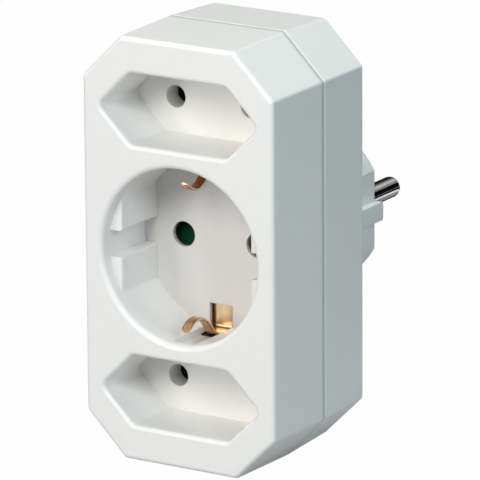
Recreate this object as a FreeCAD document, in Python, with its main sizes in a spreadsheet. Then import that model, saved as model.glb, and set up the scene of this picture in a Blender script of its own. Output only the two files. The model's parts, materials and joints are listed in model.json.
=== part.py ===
# Multi socket adapter: an octagonal wall adapter with one earthed round socket
# between two flat two-pin sockets, and a round earthed plug at its back.
# Frame: +Z up, +Y towards the wall, front face towards -Y, millimetres.
# The origin is the middle of the plug's end face, between its two pins.
# A depth is counted from the front face towards the wall.
import FreeCAD
import Part
import Sketcher
import math
import os

doc = FreeCAD.newDocument("multi_socket_adapter")

# Driving dimensions, each one its own cell
SIZES = [
    # round earthed socket
    ("recess_radius", 19.75), ("recess_depth", 17.4), ("recess_floor", 1.2),
    ("rim_round", 1.2), ("guide_inset", 3.25), ("guide_setback", 3.1),
    ("guide_slot_half", 2.95), ("guide_round", 0.6),
    ("pin_half_spacing", 9.5), ("pin_hole_radius", 2.85),
    ("channel_half_width", 2.95), ("channel_start", 2.6), ("channel_depth", 1.55),
    ("window_length", 5.05),
    # flat two-pin sockets
    ("two_pin_half_height", 8.05), ("two_pin_flat", 12.2), ("two_pin_depth", 14.8),
    ("two_pin_floor", 1.4), ("two_pin_rim_round", 0.9), ("two_pin_end_round", 1.6),
    ("two_pin_corner_round", 2.0), ("two_pin_half_spacing", 9.6),
    ("two_pin_hole_radius", 2.5), ("socket_web", 3.9),
    # housing
    ("wall", 2.0), ("panel", 2.2), ("cup_wall", 1.6), ("cup_gap", 0.1),
    ("end_margin", 8.3), ("corner_cut", 10.0), ("front_depth", 20.5),
    ("rear_depth", 17.7), ("seam_width", 0.3), ("front_draft", 1.0), ("rear_draft", 2.3),
    ("edge_round", 1.0), ("lip_round", 0.45), ("tongue_thickness", 1.0),
    ("tongue_height", 2.0), ("tongue_clearance", 0.1),
    ("collar_wall", 1.5), ("collar_gap", 0.8),
    # plug
    ("plug_radius", 18.5), ("plug_length", 18.1), ("plug_flat_inset", 2.3),
    ("plug_flat_reach", 13.5), ("plug_rib_half", 2.1), ("bore_margin", 1.4),
    ("plug_end_wall", 2.6), ("plug_edge_round", 1.0), ("groove_half_width", 4.2),
    ("groove_depth", 2.1), ("groove_land", 1.0), ("slot_clearance", 0.15),
    # pins
    ("pin_radius", 2.4), ("pin_length", 19.0), ("pin_tip_round", 1.7),
    ("pin_shank_step", 0.2), ("pin_seat_step", 0.9), ("pin_seat_thickness", 1.5),
    ("pin_boss_wall", 0.7), ("pin_tail_radius", 1.6), ("pin_head_lip", 0.7),
    ("press_clearance", 0.02),
    # screws
    ("screw_drop", 10.7), ("screw_shank_radius", 1.45), ("screw_head_radius", 2.6),
    ("screw_head_height", 1.9), ("screw_sink", 2.6), ("screw_bite", 8.8),
    ("pilot_spare", 1.6), ("boss_radius", 2.9), ("rear_boss_radius", 3.7),
    ("boss_side_gap", 0.25), ("boss_gap", 0.9), ("screw_clearance", 0.2),
    # current-carrying strips and contacts
    ("strip_half_width", 2.5), ("strip_thickness", 1.0), ("strip_end", 4.3),
    ("strip_setback", 3.5), ("strip_step", 6.2), ("contact_half_width", 3.3),
    ("contact_thickness", 0.6), ("contact_height", 7.0), ("contact_gap", 2.3),
    ("two_pin_contact_gap", 1.9), ("contact_clearance", 0.5),
    ("rivet_radius", 1.1), ("rivet_head_radius", 1.9), ("rivet_head", 0.5),
    # earth straps
    ("strap_half_width", 2.5), ("strap_thickness", 0.7), ("strap_reach", 0.05),
    ("clip_half_width", 1.15), ("clip_reach_upper", 5.9), ("clip_reach_lower", 4.75),
    ("clip_tip_depth", 3.0), ("clip_tip_round", 1.0), ("clip_thinning", 0.8),
    ("plug_strap_half_width", 3.0), ("plug_strap_bow", 1.1), ("strap_seat_gap", 0.05),
    ("earth_rivet_radius", 0.9), ("earth_rivet_head_radius", 1.3),
    ("earth_rivet_head", 0.2), ("earth_rivet_offset", 6.5),
    # child-protection shutters
    ("shutter_thickness", 2.4), ("shutter_margin", 0.75), ("shutter_hub_radius", 4.2),
    ("pivot_radius", 1.5), ("pivot_clearance", 0.05), ("shutter_clearance", 0.2),
    ("shutter_edge", 0.7), ("cover_thickness", 1.4), ("cover_cut", 3.0),
    ("cover_margin", 0.8), ("cover_hole_clearance", 0.25), ("peg_rise", 9.9),
    ("two_pin_peg_rise", 8.0), ("peg_radius", 1.1), ("peg_gap", 0.65),
    ("stop_half_width", 1.75), ("stop_height", 1.5), ("stop_clearance", 0.03),
    ("spring_seat_half", 1.3), ("spring_seat_thickness", 1.0), ("spring_radius", 0.85),
    ("spring_wire", 0.2), ("spring_length", 8.6), ("two_pin_spring_length", 7.2),
]

sheet = doc.addObject("Spreadsheet::Sheet", "dims")
for row, (alias, number) in enumerate(SIZES, start=1):
    sheet.set(f"A{row}", alias)
    sheet.set(f"B{row}", str(number))
    sheet.setAlias(f"B{row}", alias)
doc.recompute()


class Size:
    """A length that carries both its number and its spreadsheet expression."""

    def __init__(self, number, text):
        self.number = number
        self.text = text

    def __add__(self, other):
        other = as_size(other)
        return Size(self.number + other.number, f"({self.text} + {other.text})")

    def __sub__(self, other):
        other = as_size(other)
        return Size(self.number - other.number, f"({self.text} - {other.text})")

    def __mul__(self, other):
        other = as_size(other)
        return Size(self.number * other.number, f"({self.text} * {other.text})")

    def __neg__(self):
        return Size(-self.number, f"(0 - {self.text})")

    def root(self):
        return Size(math.sqrt(self.number), f"sqrt({self.text})")

    def __radd__(self, other):
        return as_size(other) + self

    def __rsub__(self, other):
        return as_size(other) - self

    def __rmul__(self, other):
        return self * other


def as_size(value):
    """A plain number becomes a Size, a Size stays as it is."""
    if isinstance(value, Size):
        return value
    return Size(float(value), f"{float(value):.6f}")


def larger(one, other):
    return Size(max(one.number, other.number), f"max({one.text}; {other.text})")


class Sizes:
    """d.wall is the driving dimension named wall."""


d = Sizes()
for alias, number in SIZES:
    setattr(d, alias, Size(number, f"dims.{alias}"))

# Depths that several pieces share
SEAM = d.front_depth + d.seam_width
BACK = SEAM + d.rear_depth
TOTAL = BACK + d.plug_length
FLOOR_BACK = d.recess_depth + d.recess_floor
TWO_PIN_FLOOR_BACK = d.two_pin_depth + d.two_pin_floor
STRAP_BACK = FLOOR_BACK + d.strap_thickness
PLUG_STRAP_BACK = STRAP_BACK + d.strap_thickness
SHUTTER = PLUG_STRAP_BACK + d.earth_rivet_head + d.shutter_clearance
COLLAR_BACK = SHUTTER - d.collar_gap
COVER = SHUTTER + d.shutter_thickness + d.shutter_clearance
COVER_BACK = COVER + d.cover_thickness
CONTACT_MOUTH = COVER_BACK + d.contact_clearance
INNER_BACK = BACK - d.wall
STRIP_FRONT = INNER_BACK - d.strip_thickness
CENTRE_STRIP_FRONT = STRIP_FRONT + d.strip_setback
CENTRE_STRIP_BACK = CENTRE_STRIP_FRONT + d.strip_thickness
PIN_BOSS_FRONT = CENTRE_STRIP_BACK + d.pin_seat_thickness
END_WALL = TOTAL - d.plug_end_wall
GROOVE_START = BACK + d.groove_land
SCREW_BOSS_BACK = SEAM - d.tongue_height - d.boss_gap
SCREW_TIP = SCREW_BOSS_BACK - d.screw_bite
SCREW_HEAD_BASE = BACK - d.screw_sink

# Places across the face, worked out from the sockets inwards and outwards
DIAGONAL = math.sqrt(2)
TWO_PIN_TIP = d.two_pin_flat + d.two_pin_half_height - d.two_pin_end_round * (DIAGONAL - 1)
TWO_PIN_CENTRE = d.recess_radius + d.socket_web + d.two_pin_half_height
BODY_HALF_WIDTH = (larger(d.recess_radius, TWO_PIN_TIP) + d.cup_wall + d.cup_gap
                   + d.tongue_thickness + d.tongue_clearance + d.wall)
BODY_HALF_HEIGHT = TWO_PIN_CENTRE + d.two_pin_half_height + d.end_margin
GUIDE_X = d.recess_radius - d.guide_inset
CHANNEL_TOP = d.recess_radius + d.channel_depth
STRAP_HALF_LENGTH = d.recess_radius + d.strap_reach
PLUG_FLAT = d.plug_radius - d.plug_flat_inset
GROOVE_FLOOR = d.plug_radius - d.groove_depth
PLUG_BORE = d.pin_half_spacing + d.contact_half_width + d.bore_margin
PIN_SHANK_RADIUS = d.pin_radius + d.pin_shank_step
PIN_SEAT_RADIUS = PIN_SHANK_RADIUS + d.pin_seat_step
SCREW_X = BODY_HALF_WIDTH - d.wall - d.rear_boss_radius - d.boss_side_gap
SCREW_Z = TWO_PIN_CENTRE - d.screw_drop

# A cut starts this far outside the face that it goes through
PAST = 0.5


# Sketch and feature helpers

def new_body(label):
    body = doc.addObject("PartDesign::Body", label)
    body.Label = label
    if hasattr(body, "AllowCompound"):
        body.AllowCompound = True
    return body


def origin_plane(body, role):
    for feature in body.Origin.OriginFeatures:
        if feature.Role == role:
            return feature
    raise RuntimeError("no plane " + role)


def new_sketch(body, name, role="XZ_Plane", offset=0.0):
    """A sketch on one of the body's own origin planes, moved along its normal."""
    sketch = body.newObject("Sketcher::SketchObject", name)
    sketch.AttachmentSupport = [(origin_plane(body, role), "")]
    sketch.MapMode = "FlatFace"
    offset = as_size(offset)
    sketch.AttachmentOffset = FreeCAD.Placement(
        FreeCAD.Vector(0, 0, offset.number), FreeCAD.Rotation())
    sketch.setExpression("AttachmentOffset.Base.z", offset.text)
    return sketch


def at_depth(body, name, depth):
    """A sketch parallel to the front face. Its x is X, its y is Z."""
    return new_sketch(body, name, "XZ_Plane", TOTAL - depth)


def hold(sketch, geometry, point, x, y):
    """Fix one point of a sketch at two driven coordinates."""
    for value, kind, axis in ((x, "DistanceX", -2), (y, "DistanceY", -1)):
        if not isinstance(value, Size) and value == 0:
            sketch.addConstraint(Sketcher.Constraint("PointOnObject", geometry, point, axis))
            continue
        value = as_size(value)
        index = sketch.addConstraint(
            Sketcher.Constraint(kind, -1, 1, geometry, point, value.number))
        sketch.setExpression(f"Constraints[{index}]", value.text)


def arc(sketch, start, centre, end, radius):
    """An arc from start to end, anticlockwise, held by its ends and its radius."""
    cx, cy = (as_size(value).number for value in centre)
    first, last = (math.atan2(as_size(y).number - cy, as_size(x).number - cx)
                   for x, y in (start, end))
    if last < first:
        last += 2 * math.pi
    whole = Part.Circle(FreeCAD.Vector(cx, cy, 0), FreeCAD.Vector(0, 0, 1), radius.number)
    index = sketch.addGeometry(Part.ArcOfCircle(whole, first, last), False)
    hold(sketch, index, 1, *start)
    hold(sketch, index, 2, *end)
    row = sketch.addConstraint(Sketcher.Constraint("Radius", index, radius.number))
    sketch.setExpression(f"Constraints[{row}]", radius.text)
    return index


def outline(sketch, pieces):
    """A closed outline. A piece is a corner (x, y) or an arc (start, centre, end,
    radius), and straight edges join each piece to the next."""
    arcs, enters, leaves = {}, [], []
    for i, piece in enumerate(pieces):
        rounded = len(piece) == 4
        if rounded:
            arcs[i] = arc(sketch, *piece)
        enters.append(piece[0] if rounded else piece)
        leaves.append(piece[2] if rounded else piece)
    count = len(pieces)
    lines = []
    for i in range(count):
        ends = [FreeCAD.Vector(as_size(x).number, as_size(y).number, 0)
                for x, y in (leaves[i], enters[(i + 1) % count])]
        lines.append(sketch.addGeometry(Part.LineSegment(*ends), False))
    for i, piece in enumerate(pieces):
        if i in arcs:
            sketch.addConstraint([
                Sketcher.Constraint("Coincident", lines[i - 1], 2, arcs[i], 1),
                Sketcher.Constraint("Coincident", arcs[i], 2, lines[i], 1)])
        else:
            sketch.addConstraint(
                Sketcher.Constraint("Coincident", lines[i - 1], 2, lines[i], 1))
            hold(sketch, lines[i], 1, *piece)


def circle(sketch, x, y, radius):
    radius = as_size(radius)
    centre = FreeCAD.Vector(as_size(x).number, as_size(y).number, 0)
    index = sketch.addGeometry(
        Part.Circle(centre, FreeCAD.Vector(0, 0, 1), radius.number), False)
    hold(sketch, index, 3, x, y)
    row = sketch.addConstraint(Sketcher.Constraint("Radius", index, radius.number))
    sketch.setExpression(f"Constraints[{row}]", radius.text)


def rectangle(sketch, x0, x1, y0, y1):
    outline(sketch, [(x0, y0), (x1, y0), (x1, y1), (x0, y1)])


def octagon(sketch, inset=0.0):
    """The housing's outline, inset by the same distance on every side."""
    inset = as_size(inset)
    w = BODY_HALF_WIDTH - inset
    h = BODY_HALF_HEIGHT - inset
    cut = d.corner_cut - inset * (2 - DIAGONAL)
    outline(sketch, [
        (w, h - cut), (w - cut, h), (-(w - cut), h), (-w, h - cut),
        (-w, -(h - cut)), (-(w - cut), -h), (w - cut, -h), (w, -(h - cut))])


def flat_hexagon(sketch, centre, grow=0.0):
    """The two-pin socket's outline with its rounded corners, grown on every side."""
    grow = as_size(grow)
    h = d.two_pin_half_height + grow
    flat = d.two_pin_flat + grow * (DIAGONAL - 1)
    end, corner = d.two_pin_end_round + grow, d.two_pin_corner_round + grow
    slope = 1 / DIAGONAL
    end_x, end_z = flat + h - end * slope, end * slope
    end_middle = flat + h - end * DIAGONAL
    cut = corner * (DIAGONAL - 1)
    far_x, far_z = flat + cut * slope, h - cut * slope
    near_x, middle_z = flat - cut, h - corner
    outline(sketch, [
        ((end_x, centre - end_z), (end_middle, centre), (end_x, centre + end_z), end),
        ((far_x, centre + far_z), (near_x, centre + middle_z), (near_x, centre + h), corner),
        ((-near_x, centre + h), (-near_x, centre + middle_z), (-far_x, centre + far_z), corner),
        ((-end_x, centre + end_z), (-end_middle, centre), (-end_x, centre - end_z), end),
        ((-far_x, centre - far_z), (-near_x, centre - middle_z), (-near_x, centre - h), corner),
        ((near_x, centre - h), (near_x, centre - middle_z), (far_x, centre - far_z), corner)])


def guide_block(sketch, side, level):
    """A guide block's outline: two flat sides, and an arc inside the cup's wall."""
    radius = d.recess_radius + d.cup_wall * 0.5
    slot = d.guide_slot_half
    beside_slot = ((radius * radius - slot * slot).root() * side, slot * level)
    far_end = (GUIDE_X * side, (radius * radius - GUIDE_X * GUIDE_X).root() * level)
    ends = (beside_slot, far_end) if side == level else (far_end, beside_slot)
    outline(sketch, [(GUIDE_X * side, slot * level), (ends[0], (0, 0), ends[1], radius)])


def finish(feature, body, volume_before, grows):
    """Recompute and stop if a feature failed or changed nothing."""
    doc.recompute()
    if not feature.isValid() or feature.Shape.isNull():
        raise RuntimeError("feature failed: " + feature.Label)
    change = feature.Shape.Volume - volume_before
    if (change < 1e-6) if grows else (change > -1e-6):
        raise RuntimeError("feature changed nothing: " + feature.Label)
    body.Tip = feature
    return feature


def volume_of(body):
    tip = body.Tip
    if tip is None or not hasattr(tip, "Shape") or tip.Shape.isNull():
        return 0.0
    return tip.Shape.Volume


def pad(body, sketch, length, rearwards=False, draft=None, both_sides=False):
    before = volume_of(body)
    feature = body.newObject("PartDesign::Pad", sketch.Label + "_pad")
    feature.Profile = sketch
    length = as_size(length)
    feature.Length = length.number
    feature.setExpression("Length", length.text)
    feature.Reversed = rearwards
    if both_sides:
        feature.Midplane = True
    if draft is not None:
        feature.TaperAngle = draft.number
        feature.setExpression("TaperAngle", draft.text)
    sketch.Visibility = False
    return finish(feature, body, before, True)


def pocket(body, sketch, length, forwards=False, draft=None, both_sides=False):
    before = volume_of(body)
    feature = body.newObject("PartDesign::Pocket", sketch.Label + "_cut")
    feature.Profile = sketch
    length = as_size(length)
    feature.Length = length.number
    feature.setExpression("Length", length.text)
    feature.Reversed = forwards
    if both_sides:
        feature.Midplane = True
    if draft is not None:
        feature.TaperAngle = draft.number
        feature.setExpression("TaperAngle", draft.text)
    sketch.Visibility = False
    return finish(feature, body, before, False)


def edges_where(shape, test):
    return [f"Edge{i}" for i, edge in enumerate(shape.Edges, start=1) if test(edge)]


def round_edges(body, name, radius, test):
    """Round every edge of the body's last feature that passes the test."""
    base = body.Tip
    names = edges_where(base.Shape, test)
    if not names:
        raise RuntimeError("no edges for " + name)
    feature = body.newObject("PartDesign::Fillet", name)
    feature.Base = (base, names)
    feature.Radius = radius.number
    feature.setExpression("Radius", radius.text)
    doc.recompute()
    if not feature.isValid() or feature.Shape.isNull() or not feature.Shape.isValid():
        raise RuntimeError("rounding failed: " + name)
    body.Tip = feature
    return feature


def y_of(depth):
    """The Y of a depth behind the front face."""
    return depth - TOTAL


def all_at(edge, axis, value, slack=0.02):
    """True if the edge lies in the plane where the coordinate has the value."""
    box = edge.BoundBox
    low, high = (box.XMin, box.XMax) if axis == "x" else (
        (box.YMin, box.YMax) if axis == "y" else (box.ZMin, box.ZMax))
    return abs(low - value) < slack and abs(high - value) < slack


def spot(edge):
    """The edge's middle point."""
    return edge.valueAt(0.5 * (edge.FirstParameter + edge.LastParameter))


# Front shell: the face with three sockets

SIDES = (1, -1)
LEVELS = ((1, "upper"), (-1, "lower"))

front_shell = new_body("front_shell")
sk = at_depth(front_shell, "front_outline", d.front_depth)
octagon(sk)
pad(front_shell, sk, d.front_depth, draft=-d.front_draft)
FRONT_Y = y_of(as_size(0)).number
FRONT_CORNER = d.front_depth.number * 0.7
round_edges(front_shell, "front_edges", d.edge_round,
            lambda e: all_at(e, "y", FRONT_Y) or e.BoundBox.YLength > FRONT_CORNER)

sk = at_depth(front_shell, "front_hollow", d.front_depth)
octagon(sk, d.wall)
pocket(front_shell, sk, d.front_depth - d.panel, forwards=True, draft=-d.front_draft)

# cups behind the panel, rooted inside it
ROOT = d.panel * 0.6
sk = at_depth(front_shell, "round_cup", FLOOR_BACK)
circle(sk, 0, 0, d.recess_radius + d.cup_wall)
pad(front_shell, sk, FLOOR_BACK - ROOT)
sk = at_depth(front_shell, "channel_block", FLOOR_BACK)
rectangle(sk, -(d.channel_half_width + d.cup_wall), d.channel_half_width + d.cup_wall,
          -(CHANNEL_TOP + d.cup_wall), CHANNEL_TOP + d.cup_wall)
pad(front_shell, sk, FLOOR_BACK - ROOT)
for level, word in LEVELS:
    sk = at_depth(front_shell, word + "_cup", TWO_PIN_FLOOR_BACK)
    flat_hexagon(sk, TWO_PIN_CENTRE * level, d.cup_wall)
    pad(front_shell, sk, TWO_PIN_FLOOR_BACK - ROOT)

# collars round the pin holes, which all end at one depth in front of the shutters
sk = at_depth(front_shell, "pin_collars", COLLAR_BACK)
for side in SIDES:
    circle(sk, d.pin_half_spacing * side, 0, d.pin_hole_radius + d.collar_wall)
pad(front_shell, sk, COLLAR_BACK - FLOOR_BACK + d.recess_floor * 0.5)
sk = at_depth(front_shell, "two_pin_collars", COLLAR_BACK)
for side in SIDES:
    for level, word in LEVELS:
        circle(sk, d.two_pin_half_spacing * side, TWO_PIN_CENTRE * level,
               d.two_pin_hole_radius + d.collar_wall)
pad(front_shell, sk, COLLAR_BACK - TWO_PIN_FLOOR_BACK + d.two_pin_floor * 0.5)


# pegs that hold the shutter covers, and bosses for the housing's screws
def peg_x(spacing):
    """A peg stands just past the shutter's spring."""
    return spacing + d.spring_radius + d.spring_wire + d.peg_gap + d.peg_radius


sk = at_depth(front_shell, "cover_pegs", COVER_BACK)
for side in SIDES:
    for step in SIDES:
        circle(sk, peg_x(d.pin_half_spacing) * side, d.peg_rise * step, d.peg_radius)
pad(front_shell, sk, COVER_BACK - FLOOR_BACK + d.recess_floor * 0.5)
sk = at_depth(front_shell, "two_pin_pegs", COVER_BACK)
for side in SIDES:
    for level, word in LEVELS:
        for step in SIDES:
            circle(sk, peg_x(d.two_pin_half_spacing) * side,
                   TWO_PIN_CENTRE * level + d.two_pin_peg_rise * step, d.peg_radius)
pad(front_shell, sk, COVER_BACK - TWO_PIN_FLOOR_BACK + d.two_pin_floor * 0.5)


def at_screws(sketch, radius):
    """A circle at each of the four screws."""
    for side in SIDES:
        for level, word in LEVELS:
            circle(sketch, SCREW_X * side, SCREW_Z * level, radius)


sk = at_depth(front_shell, "screw_bosses", SCREW_BOSS_BACK)
at_screws(sk, d.boss_radius)
pad(front_shell, sk, SCREW_BOSS_BACK - ROOT)

# the recesses, cut from the front
sk = at_depth(front_shell, "round_recess", 0.0)
circle(sk, 0, 0, d.recess_radius)
pocket(front_shell, sk, d.recess_depth)
for level, word in LEVELS:
    sk = at_depth(front_shell, word + "_recess", 0.0)
    flat_hexagon(sk, TWO_PIN_CENTRE * level)
    pocket(front_shell, sk, d.two_pin_depth)

# guide blocks with the slot between them
sk = at_depth(front_shell, "guide_blocks", d.recess_depth + d.recess_floor * 0.5)
for side in SIDES:
    for level, word in LEVELS:
        guide_block(sk, side, level)
pad(front_shell, sk, d.recess_depth + d.recess_floor * 0.5 - d.guide_setback)
GUIDE_Y = y_of(d.guide_setback).number
round_edges(front_shell, "guide_edges", d.guide_round,
            lambda e: e.BoundBox.XLength < 0.05
            and abs(abs(spot(e).x) - GUIDE_X.number) < 0.03
            and (abs(abs(spot(e).z) - d.guide_slot_half.number) < 0.03
                 or all_at(e, "y", GUIDE_Y)))

# channels and windows for the earth clips
for level, word in LEVELS:
    sk = at_depth(front_shell, word + "_channel", FLOOR_BACK)
    rectangle(sk, -d.channel_half_width, d.channel_half_width,
              (d.recess_radius - d.window_length) * level, CHANNEL_TOP * level)
    pocket(front_shell, sk, FLOOR_BACK - d.channel_start, forwards=True)

# pin holes and screw pilots
sk = at_depth(front_shell, "earthed_pin_holes", d.recess_depth - PAST)
for side in SIDES:
    circle(sk, d.pin_half_spacing * side, 0, d.pin_hole_radius)
pocket(front_shell, sk, COLLAR_BACK - d.recess_depth + 2 * PAST)
sk = at_depth(front_shell, "two_pin_holes", d.two_pin_depth - PAST)
for side in SIDES:
    for level, word in LEVELS:
        circle(sk, d.two_pin_half_spacing * side, TWO_PIN_CENTRE * level,
               d.two_pin_hole_radius)
pocket(front_shell, sk, COLLAR_BACK - d.two_pin_depth + 2 * PAST)
sk = at_depth(front_shell, "screw_pilots", SCREW_BOSS_BACK)
at_screws(sk, d.screw_shank_radius + d.press_clearance)
pocket(front_shell, sk, d.screw_bite + d.pilot_spare, forwards=True)

# rounded rims of the three recesses
round_edges(front_shell, "round_rim", d.rim_round,
            lambda e: all_at(e, "y", FRONT_Y)
            and abs(math.hypot(spot(e).x, spot(e).z) - d.recess_radius.number) < 0.05)
TIP_X = (d.two_pin_flat + d.two_pin_half_height).number
round_edges(front_shell, "two_pin_rims", d.two_pin_rim_round,
            lambda e: all_at(e, "y", FRONT_Y) and abs(spot(e).x) < TIP_X
            and abs(abs(spot(e).z) - TWO_PIN_CENTRE.number)
            < d.two_pin_half_height.number + 0.05)


# Rear shell: back half of the housing with the plug body

rear_shell = new_body("rear_shell")
sk = at_depth(rear_shell, "rear_outline", SEAM)
octagon(sk)
pad(rear_shell, sk, d.rear_depth, rearwards=True, draft=-d.rear_draft)
BACK_Y = y_of(BACK).number
SEAM_Y = y_of(SEAM).number
REAR_CORNER = d.rear_depth.number * 0.7
round_edges(rear_shell, "rear_edges", d.edge_round,
            lambda e: all_at(e, "y", BACK_Y) or e.BoundBox.YLength > REAR_CORNER)
round_edges(rear_shell, "seam_lip", d.lip_round,
            lambda e: all_at(e, "y", SEAM_Y))

sk = at_depth(rear_shell, "plug_round", TOTAL)
circle(sk, 0, 0, d.plug_radius)
pad(rear_shell, sk, d.plug_length + d.wall * 0.5)
sk = at_depth(rear_shell, "plug_flats", TOTAL)
for side in SIDES:
    for step in SIDES:
        rectangle(sk, PLUG_FLAT * side, (d.plug_radius + PAST) * side,
                  d.plug_rib_half * step, d.plug_flat_reach * step)
pocket(rear_shell, sk, d.plug_length, forwards=True)
PLUG_INSIDE = PLUG_FLAT.number - 0.5
round_edges(rear_shell, "plug_edge", d.plug_edge_round,
            lambda e: all_at(e, "y", 0.0)
            and math.hypot(spot(e).x, spot(e).z) > PLUG_INSIDE)

sk = at_depth(rear_shell, "rear_hollow", SEAM)
octagon(sk, d.wall)
pocket(rear_shell, sk, d.rear_depth - d.wall, draft=-d.rear_draft)
sk = at_depth(rear_shell, "plug_hollow", INNER_BACK - PAST)
circle(sk, 0, 0, PLUG_BORE)
pocket(rear_shell, sk, END_WALL - INNER_BACK + PAST)

# tongue that stands inside the front shell and hides the gap at the seam
TONGUE_IN = d.wall + d.tongue_clearance + d.tongue_thickness
sk = at_depth(rear_shell, "tongue_root", SEAM + d.wall)
octagon(sk, d.wall * 0.5)
octagon(sk, TONGUE_IN)
pad(rear_shell, sk, d.wall - d.seam_width)
sk = at_depth(rear_shell, "seam_tongue", SEAM + d.wall)
octagon(sk, d.wall + d.tongue_clearance)
octagon(sk, TONGUE_IN)
pad(rear_shell, sk, d.tongue_height + d.wall)

# pin bosses inside the plug, screw bosses, earth grooves
sk = at_depth(rear_shell, "pin_bosses", END_WALL + PAST)
for side in SIDES:
    circle(sk, d.pin_half_spacing * side, 0, PIN_SEAT_RADIUS + d.pin_boss_wall)
pad(rear_shell, sk, END_WALL + PAST - PIN_BOSS_FRONT)
sk = at_depth(rear_shell, "rear_screw_bosses", INNER_BACK + d.wall * 0.5)
at_screws(sk, d.rear_boss_radius)
pad(rear_shell, sk, INNER_BACK + d.wall * 0.5 - SCREW_BOSS_BACK)
sk = at_depth(rear_shell, "screw_holes", BACK)
at_screws(sk, d.screw_shank_radius + d.screw_clearance)
pocket(rear_shell, sk, BACK - SCREW_BOSS_BACK + PAST, forwards=True)
sk = at_depth(rear_shell, "screw_sinks", BACK)
at_screws(sk, d.screw_head_radius + d.screw_clearance)
pocket(rear_shell, sk, d.screw_sink, forwards=True)
sk = at_depth(rear_shell, "pin_bores", TOTAL)
for side in SIDES:
    circle(sk, d.pin_half_spacing * side, 0, PIN_SHANK_RADIUS + d.press_clearance)
pocket(rear_shell, sk, TOTAL - PIN_BOSS_FRONT + PAST, forwards=True)
for level, word in LEVELS:
    sk = at_depth(rear_shell, word + "_groove", TOTAL)
    rectangle(sk, -d.groove_half_width, d.groove_half_width,
              GROOVE_FLOOR * level, (d.plug_radius + PAST) * level)
    pocket(rear_shell, sk, TOTAL - GROOVE_START, forwards=True)
    sk = at_depth(rear_shell, word + "_strap_slot", INNER_BACK - PAST)
    half = d.plug_strap_half_width + d.slot_clearance
    rectangle(sk, -half, half, GROOVE_FLOOR * level,
              (GROOVE_FLOOR + d.strap_thickness + 2 * d.slot_clearance) * level)
    pocket(rear_shell, sk, GROOVE_START - INNER_BACK + 2 * PAST)


# Plug pins

def make_pin(label, side):
    """A turned pin: riveted head, tail, collar, shank in its boss, and blade."""
    body = new_body(label)
    body.setExpression("Placement.Base.x", (d.pin_half_spacing * side).text)
    head_back = CENTRE_STRIP_FRONT - d.contact_thickness
    head_front = head_back - d.rivet_head
    head = d.pin_tail_radius + d.pin_head_lip
    sk = new_sketch(body, label + "_profile", "XY_Plane", 0.0)
    outline(sk, [
        (0, y_of(head_front)), (head, y_of(head_front)), (head, y_of(head_back)),
        (d.pin_tail_radius, y_of(head_back)),
        (d.pin_tail_radius, y_of(CENTRE_STRIP_BACK)),
        (PIN_SEAT_RADIUS, y_of(CENTRE_STRIP_BACK)),
        (PIN_SEAT_RADIUS, y_of(PIN_BOSS_FRONT)),
        (PIN_SHANK_RADIUS, y_of(PIN_BOSS_FRONT)),
        (PIN_SHANK_RADIUS, 0), (d.pin_radius, 0), (d.pin_radius, d.pin_length),
        (0, d.pin_length)])
    feature = body.newObject("PartDesign::Revolution", label + "_turned")
    feature.Profile = sk
    feature.ReferenceAxis = (sk, ["V_Axis"])
    feature.Angle = 360
    sk.Visibility = False
    finish(feature, body, 0.0, True)
    tip = d.pin_length.number
    round_edges(body, label + "_tip", d.pin_tip_round,
                lambda e: all_at(e, "y", tip) and e.BoundBox.XLength > 1)


make_pin("phase_pin", 1)
make_pin("neutral_pin", -1)


# Current strips: one long strip each side, set back behind the middle socket

def make_strip(label, side):
    body = new_body(label)
    sk = new_sketch(body, label + "_side", "YZ_Plane", d.pin_half_spacing * side)
    front, back = y_of(STRIP_FRONT), y_of(INNER_BACK)
    far_front, far_back = y_of(CENTRE_STRIP_FRONT), y_of(CENTRE_STRIP_BACK)
    step, end = d.strip_step, TWO_PIN_CENTRE + d.strip_end
    inner = step - d.strip_thickness
    outline(sk, [
        (front, end), (back, end), (back, step), (far_back, step),
        (far_back, -step), (back, -step), (back, -end), (front, -end),
        (front, -inner), (far_front, -inner), (far_front, inner), (front, inner)])
    pad(body, sk, d.strip_half_width * 2, both_sides=True)
    sk = at_depth(body, label + "_holes", STRIP_FRONT - PAST)
    for level, word in LEVELS:
        circle(sk, d.two_pin_half_spacing * side, TWO_PIN_CENTRE * level,
               d.rivet_radius + d.press_clearance)
    pocket(body, sk, d.strip_thickness + 2 * PAST)
    sk = at_depth(body, label + "_pin_hole", CENTRE_STRIP_FRONT - PAST)
    circle(sk, d.pin_half_spacing * side, 0, d.pin_tail_radius + d.press_clearance)
    pocket(body, sk, d.strip_thickness + 2 * PAST)


make_strip("phase_busbar", 1)
make_strip("neutral_busbar", -1)


# Contacts: folded clips with two leaves that grip a pin. The leaves lean
# together from the mouth, run straight where they grip, then spread to the base.
# These are shares of the length from mouth to base, where each stretch ends.
LEAN_END, GRIP_END, SPREAD_END = 0.2, 0.42, 0.75


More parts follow.
